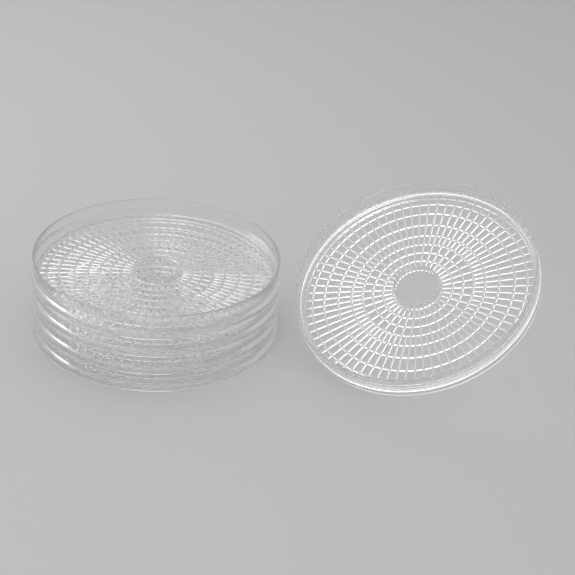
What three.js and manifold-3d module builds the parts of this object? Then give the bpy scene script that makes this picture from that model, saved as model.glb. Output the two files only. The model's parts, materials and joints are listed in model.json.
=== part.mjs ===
// A set of round drying trays: four stand nested in a stack, and a fifth is tipped up beside it.
// Each tray is one clear plastic moulding. It has a rim whose skirt slips over the tray below,
// a grille floor that the food lies on, and a hub ring around the hole for the rising air.
// Units are millimetres and +Z is up. The trays stand on the plane z = 0, and the origin is
// below the middle of the whole set.

import * as THREE from 'three';
import { mergeVertices } from 'three/addons/utils/BufferGeometryUtils.js';
import Module from 'manifold-3d';

// The rim. Heights are measured from the lower edge of the skirt.
const skirtRadius = 125;
const skirtBoreRadius = 123.7;
const skirtHeight = 3.2;
const footHeight = 1.3;
const seatHeight = 4.9;
const waistRadius = 122.6;
const waistHeight = 14;
const brimRadius = 123.3;
const brimBoreRadius = 121.6;
const trayHeight = 24;
const wallBaseRadius = 121;
const ledgeRadius = 117;
const grooveRadius = 121;
const ledgeTop = 6.2;

// The hub ring around the air hole.
const holeRadius = 22.6;
const hubFootRadius = 25.6;
const hubTopRadius = 24.4;
const hubTop = 8;

// The grille floor, which is a thin plate whose edges are buried in the ledge and the hub.
const floorBottom = 1.5;
const floorThickness = 1.4;
const buriedEdge = 2.4;
const barWidth = 2;
const openingBands = [
  { innerRing: 25, outerRing: 57, count: 12 },
  { innerRing: 57, outerRing: 82.6, count: 24 },
  { innerRing: 82.6, outerRing: 117.2, count: 24 },
];

// How finely the round shapes are divided.
const rimSides = 48;
const hubSides = 24;

// The stack, and the loose tray that leans back on the lowest point of its skirt.
const stackCount = 4;
const restingGap = 0.3;
const stackPitch = trayHeight - seatHeight + restingGap;
const stackPosition = new THREE.Vector2(-128.25, 0);
const looseOffset = new THREE.Vector2(263.5, 1.8);
const looseTilt = THREE.MathUtils.degToRad(29.9);
const uphillDirection = THREE.MathUtils.degToRad(49.3);

const manifold = await Module();
manifold.setup();

// Turns a closed three.js geometry into a solid that can be joined to another.
function toSolid(geometry) {
  const bare = geometry.clone();
  bare.deleteAttribute('normal');
  bare.deleteAttribute('uv');
  const merged = mergeVertices(bare, 1e-4);
  const mesh = new manifold.Mesh({
    numProp: 3,
    vertProperties: new Float32Array(merged.attributes.position.array),
    triVerts: new Uint32Array(merged.index.array),
  });
  return new manifold.Manifold(mesh);
}

// Turns a solid back into a three.js geometry.
function toGeometry(solid) {
  const mesh = solid.getMesh();
  const geometry = new THREE.BufferGeometry();
  geometry.setAttribute('position', new THREE.BufferAttribute(mesh.vertProperties, 3));
  geometry.setIndex(new THREE.BufferAttribute(mesh.triVerts, 1));
  geometry.computeVertexNormals();
  return geometry;
}

// Turns a closed outline of [radius, height] points about the Z axis.
function turned(outline, sides) {
  const points = outline.map(([radius, height]) => new THREE.Vector2(radius, height));
  points.push(points[0].clone());
  const geometry = new THREE.LatheGeometry(points, sides);
  return geometry.rotateX(Math.PI / 2);
}

// The rim. The brim of the tray below slips into the groove between the skirt and the ledge, up to
// the seat. The ledge carries the floor, and the wall has a slight waist below the brim.
function rimGeometry() {
  return turned([
    [ledgeRadius, footHeight],
    [grooveRadius, footHeight],
    [grooveRadius, seatHeight],
    [skirtBoreRadius, seatHeight],
    [skirtBoreRadius, 0],
    [skirtRadius, 0],
    [skirtRadius, skirtHeight],
    [waistRadius, waistHeight],
    [brimRadius, trayHeight],
    [brimBoreRadius, trayHeight],
    [wallBaseRadius, ledgeTop],
    [ledgeRadius, ledgeTop],
  ], rimSides);
}

function hubGeometry() {
  return turned([
    [holeRadius, footHeight],
    [hubFootRadius, footHeight],
    [hubTopRadius, hubTop],
    [holeRadius, hubTop],
  ], hubSides);
}

function polarPoint(radius, angle) {
  return new THREE.Vector2(radius * Math.cos(angle), radius * Math.sin(angle));
}

// One opening between two rings and two radial bars, with half a bar left on every side.
function openingPath(band, index) {
  const inner = band.innerRing + barWidth / 2;
  const outer = band.outerRing - barWidth / 2;
  const step = (2 * Math.PI) / band.count;
  const start = index * step;
  const end = start + step;
  return new THREE.Path([
    polarPoint(inner, start + barWidth / 2 / inner),
    polarPoint(outer, start + barWidth / 2 / outer),
    polarPoint(outer, end - barWidth / 2 / outer),
    polarPoint(inner, end - barWidth / 2 / inner),
  ]);
}

function ringPoints(radius, sides) {
  const points = [];
  for (let i = 0; i < sides; i += 1) {
    points.push(polarPoint(radius, (i * 2 * Math.PI) / sides));
  }
  return points;
}

function floorGeometry() {
  const plate = new THREE.Shape(ringPoints(ledgeRadius + buriedEdge, rimSides));
  plate.holes.push(new THREE.Path(ringPoints(holeRadius + buriedEdge / 2, hubSides)));
  for (const band of openingBands) {
    for (let i = 0; i < band.count; i += 1) {
      plate.holes.push(openingPath(band, i));
    }
  }
  const geometry = new THREE.ExtrudeGeometry(plate, { depth: floorThickness, bevelEnabled: false });
  return geometry.translate(0, 0, floorBottom);
}

function trayGeometry() {
  const rim = toSolid(rimGeometry());
  const floor = toSolid(floorGeometry());
  const hub = toSolid(hubGeometry());
  return toGeometry(rim.add(floor).add(hub));
}

function clearPlastic() {
  return new THREE.MeshStandardMaterial({
    color: 0xd9dde0,
    roughness: 0.12,
    metalness: 0,
    transparent: true,
    opacity: 0.45,
  });
}

function makeTray(name, geometry) {
  const tray = new THREE.Mesh(geometry, clearPlastic());
  tray.name = name;
  return tray;
}

function makeStack(geometry) {
  const stack = new THREE.Group();
  for (let level = 0; level < stackCount; level += 1) {
    const tray = makeTray(`stack_tray_${level + 1}`, geometry);
    tray.position.z = level * stackPitch;
    stack.add(tray);
  }
  stack.position.set(stackPosition.x, stackPosition.y, 0);
  return stack;
}

// The loose tray turns about the level line through the lowest point of its skirt.
function makeLooseTray(geometry) {
  const tray = makeTray('loose_tray', geometry);
  const hinge = new THREE.Vector3(Math.sin(uphillDirection), -Math.cos(uphillDirection), 0);
  tray.quaternion.setFromAxisAngle(hinge, looseTilt);
  const centre = stackPosition.clone().add(looseOffset);
  tray.position.set(centre.x, centre.y, skirtRadius * Math.sin(looseTilt));
  return tray;
}

const geometry = trayGeometry();
const group = new THREE.Group();
group.add(makeStack(geometry));
group.add(makeLooseTray(geometry));

export default group;
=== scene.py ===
# %% [markdown]
# # A set of clear food drying trays
#
# Four round trays stand nested in a stack, and a fifth leans back beside them. Each tray is one
# moulding in clear plastic: a rim with a skirt below and a brim above, a grille floor of fine bars,
# and a short hub ring around the hole that lets warm air rise.
#
# The design model already fixes where everything is, so this script starts from it. One fine tray
# is modelled, and then copied to the five places.

# %% Load the frame
import math

import bmesh
import bpy
from mathutils import Matrix, Vector
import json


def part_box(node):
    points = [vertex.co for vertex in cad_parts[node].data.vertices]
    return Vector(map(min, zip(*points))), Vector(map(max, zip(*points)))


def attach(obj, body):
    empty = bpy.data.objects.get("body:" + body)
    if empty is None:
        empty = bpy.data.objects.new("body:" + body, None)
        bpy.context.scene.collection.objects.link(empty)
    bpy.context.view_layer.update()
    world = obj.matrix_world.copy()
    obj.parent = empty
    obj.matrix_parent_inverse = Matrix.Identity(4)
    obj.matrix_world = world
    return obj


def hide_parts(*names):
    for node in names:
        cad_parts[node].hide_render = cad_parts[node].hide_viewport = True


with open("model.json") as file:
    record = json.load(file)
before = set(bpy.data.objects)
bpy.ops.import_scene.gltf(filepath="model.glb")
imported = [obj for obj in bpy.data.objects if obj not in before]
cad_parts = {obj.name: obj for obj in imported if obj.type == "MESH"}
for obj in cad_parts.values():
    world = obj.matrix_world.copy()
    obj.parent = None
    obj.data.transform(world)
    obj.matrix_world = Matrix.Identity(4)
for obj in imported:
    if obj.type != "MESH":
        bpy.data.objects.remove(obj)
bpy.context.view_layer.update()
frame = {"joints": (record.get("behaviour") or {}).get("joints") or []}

# %% [markdown]
# ## Measure the design
#
# The radii and the height of the rim follow from the lowest tray's box, and the hinge of the loose
# tray says where it leans. The finer sizes are given in millimetres where they are first used.

# %% Sizes of a tray
MM = 0.001
STACK_NODES = ["stack_tray_1", "stack_tray_2", "stack_tray_3", "stack_tray_4"]
LOOSE_NODE = "loose_tray"

tray_low, tray_high = (Vector(corner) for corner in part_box(STACK_NODES[0]))
SKIRT_RADIUS = (tray_high.x - tray_low.x) / 2
TRAY_HEIGHT = tray_high.z - tray_low.z
STACK_CENTRE = (tray_low + tray_high) / 2
print("skirt radius", round(SKIRT_RADIUS / MM, 2), "mm, tray height", round(TRAY_HEIGHT / MM, 2), "mm")

FLOOR_TOP = 2.9 * MM
FLOOR_THICKNESS = 1.4 * MM
BAR_WIDTH = 2.1 * MM
HUB_RING = 25.0 * MM
# Radii of the ring bars, from the hub outwards, and how many radial bars cross to the next ring.
RING_BARS = [
    (HUB_RING, 36),
    (35.8 * MM, 36),
    (46.4 * MM, 36),
    (57.0 * MM, 72),
    (68.6 * MM, 72),
    (82.6 * MM, 72),
    (97.6 * MM, 72),
    (110.0 * MM, 72),
]
LAST_RING = 117.6 * MM
COLUMNS = 144
print("openings in a floor:", sum(bars for _, bars in RING_BARS))

# %% [markdown]
# ## Helpers for modelling
#
# An edit-mode tool acts on everything that is selected. These helpers empty the selection, pick
# edges or faces by a test on their place, and say how many passed it.


# %% Selecting by place
def fresh_start():
    if bpy.context.object and bpy.context.object.mode != "OBJECT":
        bpy.ops.object.mode_set(mode="OBJECT")
    bpy.ops.object.select_all(action="DESELECT")


def radius_of(point):
    return math.hypot(point.x, point.y)


def pick(kind, test):
    """Selects the edges or faces of the mesh in edit mode that pass a test, and no others."""
    bpy.ops.mesh.select_mode(type=kind)
    bpy.ops.mesh.select_all(action="DESELECT")
    sheet = bmesh.from_edit_mesh(bpy.context.object.data)
    parts = sheet.faces if kind == "FACE" else sheet.edges
    count = 0
    for part in parts:
        if test(part):
            part.select_set(True)
            count += 1
    sheet.select_flush_mode()
    bmesh.update_edit_mesh(bpy.context.object.data)
    return count


SAME_PLACE = 0.05 * MM


def near(value, target):
    return abs(value - target) < SAME_PLACE


def all_at(part, radius, height):
    """True where every corner of an edge or face lies at one radius and, if given, one height."""
    if not all(near(radius_of(v.co), radius) for v in part.verts):
        return False
    return height is None or all(near(v.co.z, height) for v in part.verts)


# %% [markdown]
# ## The net of the grille floor
#
# The floor is a net of ring bars and radial bars. It starts as one circle, which is extruded
# outwards ring by ring. The radial edges that aren't bars are dissolved, so that each face left is
# one opening. Insetting every face by half a bar and deleting what is inside leaves the bars. A
# polar net keeps all openings square to the rings, which a flat grid with a round cut would not.

# %% Lay out the rings
fresh_start()
bpy.ops.mesh.primitive_circle_add(vertices=COLUMNS, radius=HUB_RING, location=(0, 0, FLOOR_TOP))
tray = bpy.context.object
tray.name = "moulded_tray"
bpy.ops.object.transform_apply(location=True, rotation=True, scale=True)
bpy.ops.object.mode_set(mode="EDIT")
bpy.ops.mesh.select_mode(type="EDGE")
bpy.ops.mesh.select_all(action="SELECT")

ring_radii = [radius for radius, _ in RING_BARS] + [LAST_RING]
for inner, outer in zip(ring_radii, ring_radii[1:]):
    bpy.ops.mesh.extrude_region_move()
    growth = outer / inner
    bpy.ops.transform.resize(value=(growth, growth, 1), center_override=(0, 0, FLOOR_TOP))
print("rings laid out:", len(ring_radii))


# %% Dissolve the radial edges that are not bars
def is_spare_edge(edge):
    first, second = (radius_of(v.co) for v in edge.verts)
    if near(first, second):
        return False
    inner = min(first, second)
    bars = next(count for radius, count in RING_BARS if near(inner, radius))
    point = edge.verts[0].co
    column = round(math.atan2(point.y, point.x) / (2 * math.pi) * COLUMNS)
    return column % (COLUMNS // bars) != 0


spare = pick("EDGE", is_spare_edge)
bpy.ops.mesh.dissolve_edges(use_verts=False)
print("radial edges dissolved:", spare)

# %% Open the cells between the bars
bpy.ops.mesh.select_mode(type="FACE")
bpy.ops.mesh.select_all(action="SELECT")
bpy.ops.mesh.inset(thickness=BAR_WIDTH / 2, use_individual=True, use_even_offset=True)
bpy.ops.mesh.delete(type="FACE")
bpy.ops.mesh.select_all(action="SELECT")
bpy.ops.mesh.extrude_region_move(TRANSFORM_OT_translate={"value": (0, 0, -FLOOR_THICKNESS)})
bpy.ops.mesh.select_all(action="SELECT")
bpy.ops.mesh.normals_make_consistent(inside=False)
print("faces in the net:", len(bmesh.from_edit_mesh(tray.data).faces))

# %% [markdown]
# ## Round the bars
#
# Moulded bars have rounded top edges, so that food lifts off them, and that round is what catches
# the light as a bright line along each bar. A bevel on the rim of every opening makes it: a rounder
# one on top, and a small one underneath. Wider bevels on top were tried, and gave thinner and duller
# lines.


# %% Bevel the openings
def opening_edge(height):
    """A test for the edges around the openings at one height, but not on the hub or last ring."""
    def test(edge):
        if not all(near(v.co.z, height) for v in edge.verts):
            return False
        if all_at(edge, HUB_RING, None) or all_at(edge, LAST_RING, None):
            return False
        return any(abs(face.normal.z) < 0.5 for face in edge.link_faces)
    return test


FLOOR_BOTTOM = FLOOR_TOP - FLOOR_THICKNESS
TOP_ROUND = 0.4 * MM
BOTTOM_ROUND = 0.12 * MM
tops = pick("EDGE", opening_edge(FLOOR_TOP))
bpy.ops.mesh.bevel(offset=TOP_ROUND, segments=2, affect="EDGES", clamp_overlap=True)
bottoms = pick("EDGE", opening_edge(FLOOR_BOTTOM))
bpy.ops.mesh.bevel(offset=BOTTOM_ROUND, segments=1, affect="EDGES", clamp_overlap=True)
print("edges rounded:", tops, "on top and", bottoms, "underneath")

# %% [markdown]
# ## The rim and the hub
#
# The net still ends in a cut edge at its last ring and at the hub ring. The rim grows out of the
# last ring: its top loop is extruded along the section of the rim, over the ledge, up the wall, over
# the brim, down the outside to the skirt, and back in through the groove under the ledge. There it is
# bridged to the bottom loop. The hub grows inwards from its ring in the same way. So the whole tray
# stays one closed skin, which clear plastic needs: a wall hidden inside it would show.
#
# The groove is what the trays stack by. The brim of the tray below slips into it.


# %% Extrude a loop along a section
def sweep(start_radius, section):
    """Extrudes the loop at the floor's top edge along a section, and bridges it to the bottom edge."""
    pick("FACE", lambda face: all_at(face, start_radius, None))
    bpy.ops.mesh.delete(type="FACE")
    pick("EDGE", lambda edge: all_at(edge, start_radius, FLOOR_TOP))
    radius, height = start_radius, FLOOR_TOP
    for next_radius, next_height in section:
        bpy.ops.mesh.extrude_region_move()
        growth = next_radius / radius
        bpy.ops.transform.resize(value=(growth, growth, 1), center_override=(0, 0, height))
        bpy.ops.transform.translate(value=(0, 0, next_height - height))
        radius, height = next_radius, next_height
    last_radius, last_height = section[-1]

    def loose_end(edge):
        at_end = all_at(edge, last_radius, last_height) and len(edge.link_faces) == 1
        return at_end or all_at(edge, start_radius, FLOOR_BOTTOM)

    ends = pick("EDGE", loose_end)
    bpy.ops.mesh.bridge_edge_loops()
    return ends


def arc(centre_radius, centre_height, size, start, end, steps):
    """Points of a round corner in a section. Angles are in degrees, from outwards to upwards."""
    points = []
    for i in range(steps + 1):
        angle = math.radians(start + (end - start) * i / steps)
        points.append((centre_radius + size * math.cos(angle), centre_height + size * math.sin(angle)))
    return points


# %% The rim
WALL_INSIDE = SKIRT_RADIUS - 4.0 * MM
BRIM_INSIDE = SKIRT_RADIUS - 3.4 * MM
BRIM_OUTSIDE = SKIRT_RADIUS - 1.7 * MM
WAIST = SKIRT_RADIUS - 2.4 * MM
WAIST_HEIGHT = 14.0 * MM
SKIRT_HEIGHT = 3.2 * MM
SKIRT_INSIDE = SKIRT_RADIUS - 1.3 * MM
FOOT_HEIGHT = 1.3 * MM
SEAT_HEIGHT = 4.9 * MM
LEDGE_INSIDE = LAST_RING + 0.2 * MM
LEDGE_TOP = 6.2 * MM
LEDGE_ROUND = 0.6 * MM
FOOT_FILLET = 0.35 * MM
FOOT_INSIDE = LAST_RING + 1.2 * MM
BRIM_ROUND = 0.45 * MM
EDGE_ROUND = 0.25 * MM

rim_section = arc(LEDGE_INSIDE + LEDGE_ROUND, LEDGE_TOP - LEDGE_ROUND, LEDGE_ROUND, 180, 90, 3)
rim_section += arc(WALL_INSIDE - FOOT_FILLET, LEDGE_TOP + FOOT_FILLET, FOOT_FILLET, -90, 0, 4)
rim_section += arc(BRIM_INSIDE + BRIM_ROUND, TRAY_HEIGHT - BRIM_ROUND, BRIM_ROUND, 180, 90, 3)
rim_section += arc(BRIM_OUTSIDE - BRIM_ROUND, TRAY_HEIGHT - BRIM_ROUND, BRIM_ROUND, 90, 0, 3)
# The outside draws in to a softly rounded waist, and widens again to the skirt.
rim_section += [
    (WAIST + 0.15 * MM, WAIST_HEIGHT + 3.0 * MM),
    (WAIST, WAIST_HEIGHT + 0.6 * MM),
    (WAIST + 0.1 * MM, WAIST_HEIGHT - 0.6 * MM),
    (SKIRT_RADIUS - 0.4 * MM, SKIRT_HEIGHT + 1.6 * MM),
    (SKIRT_RADIUS - 0.05 * MM, SKIRT_HEIGHT),
]
rim_section += arc(SKIRT_RADIUS - EDGE_ROUND, EDGE_ROUND, EDGE_ROUND, 0, -90, 3)
rim_section += arc(SKIRT_INSIDE + EDGE_ROUND, EDGE_ROUND, EDGE_ROUND, -90, -180, 2)
rim_section += [(SKIRT_INSIDE, SEAT_HEIGHT), (WALL_INSIDE, SEAT_HEIGHT)]
rim_section += arc(WALL_INSIDE - EDGE_ROUND, FOOT_HEIGHT + EDGE_ROUND, EDGE_ROUND, 0, -90, 2)
rim_section += [(FOOT_INSIDE, FOOT_HEIGHT)]
print("rim section points:", len(rim_section), "loop edges bridged:", sweep(LAST_RING, rim_section))

# %% The hub
HOLE_RADIUS = 22.6 * MM
HUB_TOP = 8.0 * MM
HUB_ROUND = 0.5 * MM
HUB_TOP_OUTSIDE = HUB_RING - 0.6 * MM

# The first point eases the corner where the hub stands up from the floor.
hub_section = [(HUB_RING - 0.25 * MM, FLOOR_TOP + 0.4 * MM)]
hub_section += arc(HUB_TOP_OUTSIDE - HUB_ROUND, HUB_TOP - HUB_ROUND, HUB_ROUND, 0, 90, 3)
hub_section += arc(HOLE_RADIUS + HUB_ROUND, HUB_TOP - HUB_ROUND, HUB_ROUND, 90, 180, 3)
hub_section += arc(HOLE_RADIUS + EDGE_ROUND, FOOT_HEIGHT + EDGE_ROUND, EDGE_ROUND, 180, 270, 2)
print("hub section points:", len(hub_section), "loop edges bridged:", sweep(HUB_RING, hub_section))

# %% Close up and smooth
SMOOTH_BELOW = math.radians(38)

bpy.ops.mesh.select_all(action="SELECT")
bpy.ops.mesh.normals_make_consistent(inside=False)
skin = bmesh.from_edit_mesh(tray.data)
open_edges = sum(1 for edge in skin.edges if len(edge.link_faces) != 2)
bpy.ops.object.mode_set(mode="OBJECT")
bpy.ops.object.shade_smooth_by_angle(angle=SMOOTH_BELOW)
print("faces:", len(tray.data.polygons), "open edges:", open_edges)

# %% [markdown]
# ## Clear plastic
#
# The trays are moulded in a clear plastic, taken here to be polystyrene. It is a smooth solid that
# light passes through and bends in, so a glass-like shader suits it, with no hue of its own. A real
# moulding is never optically flat: it has slow waves from the mould's flow, and fine scuffs from
# washing, so two noise patterns drive a weak bump, and the scuffs drive the roughness too.
#
# Two more things are added. Rays towards a lamp pass straight on and lose a little at each surface,
# because a glass-like shader alone throws too dark a shadow for clear plastic. And a weak absorption
# inside the solid makes the long ways through it a little greyer than the thin places.


# %% Shader maths as expressions
class Socket:
    """Wraps a node's output, so that maths on it adds Math nodes."""

    def __init__(self, paint, output):
        self.paint = paint
        self.output = output

    def _maths(self, operation, first, second):
        return self.paint.node("ShaderNodeMath", {"operation": operation}, {0: first, 1: second})

    def __add__(self, other):
        return self._maths("ADD", self, other)

    def __radd__(self, other):
        return self._maths("ADD", other, self)

    def __mul__(self, other):
        return self._maths("MULTIPLY", self, other)

    def __rmul__(self, other):
        return self._maths("MULTIPLY", other, self)


class Paint:
    """One material and the nodes that make it."""

    def __init__(self, name):
        self.material = bpy.data.materials.new(name)
        self.material.use_nodes = True
        self.tree = self.material.node_tree
        self.shader = self.tree.nodes["Principled BSDF"]

    def node(self, kind, settings, inputs, output=0):
        """Adds a node with its settings first and then its sockets, and returns one output."""
        made = self.tree.nodes.new(kind)
        for name, value in settings.items():
            setattr(made, name, value)
        for name, value in inputs.items():
            self.feed(made, name, value)
        return Socket(self, made.outputs[output])

    def feed(self, target, name, value):
        if isinstance(value, Socket):
            self.tree.links.new(value.output, target.inputs[name])
        else:
            target.inputs[name].default_value = value

    def finish_with(self, **sockets):
        for name, value in sockets.items():
            self.feed(self.shader, name.replace("_", " "), value)
        return self.material

    def let_lamps_through(self, share):
        """Lets rays towards a lamp pass straight on, keeping a share of their light at each surface."""
        to_lamp = self.node("ShaderNodeLightPath", {}, {}, "Is Shadow Ray")
        clear = self.node("ShaderNodeBsdfTransparent", {}, {"Color": (share, share, share, 1.0)})
        solid = Socket(self, self.shader.outputs["BSDF"])
        mixed = self.node("ShaderNodeMixShader", {}, {0: to_lamp, 1: solid, 2: clear})
        self.feed(self.tree.nodes["Material Output"], "Surface", mixed)

    def darken_with_depth(self, density):
        """Takes light away along its way through the solid, so that long ways look darker."""
        inside = self.node(
            "ShaderNodeVolumeAbsorption", {}, {"Color": (0.0, 0.0, 0.0, 1.0), "Density": density}
        )
        self.feed(self.tree.nodes["Material Output"], "Volume", inside)


# %% The clear plastic
LAMP_SHARE = 0.92
DEPTH_DENSITY = 3.5


def clear_polystyrene():
    paint = Paint("clear_polystyrene")
    place = paint.node("ShaderNodeTexCoord", {}, {}, "Object")
    waves = paint.node("ShaderNodeTexNoise", {}, {"Vector": place, "Scale": 55.0, "Detail": 2.0})
    scuffs = paint.node("ShaderNodeTexNoise", {}, {"Vector": place, "Scale": 900.0, "Detail": 3.0})
    surface = waves * 0.8 + scuffs * 0.05
    bump = paint.node(
        "ShaderNodeBump", {}, {"Strength": 0.10, "Distance": 0.0006, "Height": surface}, "Normal"
    )
    paint.let_lamps_through(LAMP_SHARE)
    paint.darken_with_depth(DEPTH_DENSITY)
    return paint.finish_with(
        Base_Color=(0.99, 0.99, 0.99, 1.0),
        Transmission_Weight=1.0,
        IOR=1.45,
        Roughness=0.05 + scuffs * 0.05,
        Normal=bump,
    )


PLASTIC = clear_polystyrene()
tray.data.materials.clear()
tray.data.materials.append(PLASTIC)
print("clear plastic made with", len(PLASTIC.node_tree.nodes), "nodes")

# %% [markdown]
# ## Put a tray in each place
#
# A stacked tray only needs lifting to the height of its designed node. The loose tray is first laid
# flat behind the hinge, and is then turned back about it by the whole range of the joint, because
# the joint starts at the leaning pose and ends flat. Each copy's place goes into its mesh, since a
# finished piece's own object stays at the origin.


# %% Copy the tray into place
def place_copy(name, node, body, matrix):
    fresh_start()
    tray.select_set(True)
    bpy.context.view_layer.objects.active = tray
    bpy.ops.object.duplicate(linked=False)
    copy = bpy.context.object
    copy.name = name
    copy.matrix_world = matrix
    bpy.ops.object.transform_apply(location=True, rotation=True, scale=True)
    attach(copy, body)
    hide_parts(node)


for level, node in enumerate(STACK_NODES, start=1):
    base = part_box(node)[0]
    lift = Matrix.Translation((STACK_CENTRE.x, STACK_CENTRE.y, base[2]))
    place_copy(f"moulded_tray_{level}", node, node, lift)
    print("tray", level, "stands at", round(base[2] / MM, 1), "mm")

hinge = next(joint for joint in frame["joints"] if joint["name"] == "tip_loose_tray")
pivot = Vector(hinge["pos_m"])
hinge_axis = Vector(hinge["axis"]).normalized()
uphill = hinge_axis.cross(Vector((0, 0, 1)))
flat_place = Matrix.Translation(pivot + uphill * SKIRT_RADIUS)
lean_angle = -math.radians(hinge["range_deg"][1])
lean = Matrix.Translation(pivot) @ Matrix.Rotation(lean_angle, 4, hinge_axis) @ Matrix.Translation(-pivot)
place_copy("moulded_loose_tray", LOOSE_NODE, LOOSE_NODE, lean @ flat_place)
bpy.data.objects.remove(tray)
print("the loose tray leans by", hinge["range_deg"][1], "degrees")

# %% [markdown]
# ## Floor, lights and camera
#
# Clear plastic shows only what is around it. A pale grey floor, a white surround and a soft light
# from the front give it an even grey body. A second soft light, high on the left and somewhat
# behind, draws the bright lines along the bars. Light is reflected many times between the bars of
# five trays, so the limits on bounces are raised: with the usual four glossy bounces, dark specks
# are left where a ray is cut short.


# %% Floor
FLOOR_SIZE = 12
FLOOR_CENTRE = (0, 2, 0)


def pale_floor():
    fresh_start()
    bpy.ops.mesh.primitive_plane_add(size=FLOOR_SIZE, location=FLOOR_CENTRE)
    floor = bpy.context.object
    floor.name = "studio_floor"
    paint = Paint("pale_floor")
    place = paint.node("ShaderNodeTexCoord", {}, {}, "Object")
    grain = paint.node("ShaderNodeTexNoise", {}, {"Vector": place, "Scale": 40.0})
    floor.data.materials.append(paint.finish_with(
        Base_Color=(0.56, 0.56, 0.56, 1.0),
        Roughness=0.75 + grain * 0.1,
    ))


pale_floor()
print("floor of", FLOOR_SIZE, "m a side")

# %% Lights
TARGET = Vector((0.0040, 0.0252, 0.04))


def soft_light(name, width, height, watts, azimuth, elevation, distance):
    """An area light that faces the set. Azimuth 0 is in front, and it grows towards +X."""
    turn, lift = math.radians(azimuth), math.radians(elevation)
    away = Vector((math.sin(turn) * math.cos(lift), -math.cos(turn) * math.cos(lift), math.sin(lift)))
    data = bpy.data.lights.new(name, "AREA")
    data.shape = "RECTANGLE"
    data.size = width
    data.size_y = height
    data.energy = watts
    light = bpy.data.objects.new(name, data)
    light.location = TARGET + away * distance
    light.rotation_euler = away.to_track_quat("Z", "Y").to_euler()
    bpy.context.scene.collection.objects.link(light)
    print(name, "stands at", [round(v, 2) for v in light.location], "m")


soft_light("front_softbox", 1.2, 1.2, watts=8, azimuth=-10, elevation=55, distance=2.2)
soft_light("overhead_softbox", 1.2, 1.2, watts=8, azimuth=-122, elevation=54, distance=1.8)

# %% White surround
world = bpy.data.worlds.new("studio")
world.use_nodes = True
surround = world.node_tree.nodes["Background"]
surround.inputs["Color"].default_value = (1.0, 1.0, 1.0, 1.0)
surround.inputs["Strength"].default_value = 0.6
scene = bpy.context.scene
scene.world = world
scene.view_settings.view_transform = "Standard"
scene.cycles.transmission_bounces = 24
scene.cycles.glossy_bounces = 48
scene.cycles.max_bounces = 64
print("light may bounce", scene.cycles.max_bounces, "times")

# %% Camera
ELEVATION = math.radians(29.7)
ROLL = math.radians(4.5)
DISTANCE = 1.396
LENS = 84.7

camera_data = bpy.data.cameras.new("camera")
camera_data.lens = LENS
camera = bpy.data.objects.new("camera", camera_data)
camera.location = TARGET + Vector((0, -math.cos(ELEVATION), math.sin(ELEVATION))) * DISTANCE
aim = Matrix.Rotation(math.radians(90) - ELEVATION, 4, "X") @ Matrix.Rotation(ROLL, 4, "Z")
camera.rotation_euler = aim.to_euler()
scene.collection.objects.link(camera)
scene.camera = camera
print("camera stands at", [round(v, 3) for v in camera.location], "m")

# %% [markdown]
# ## The end
# #
# # The fine trays are meant to fill the same box as the design.

# %% The end
import json
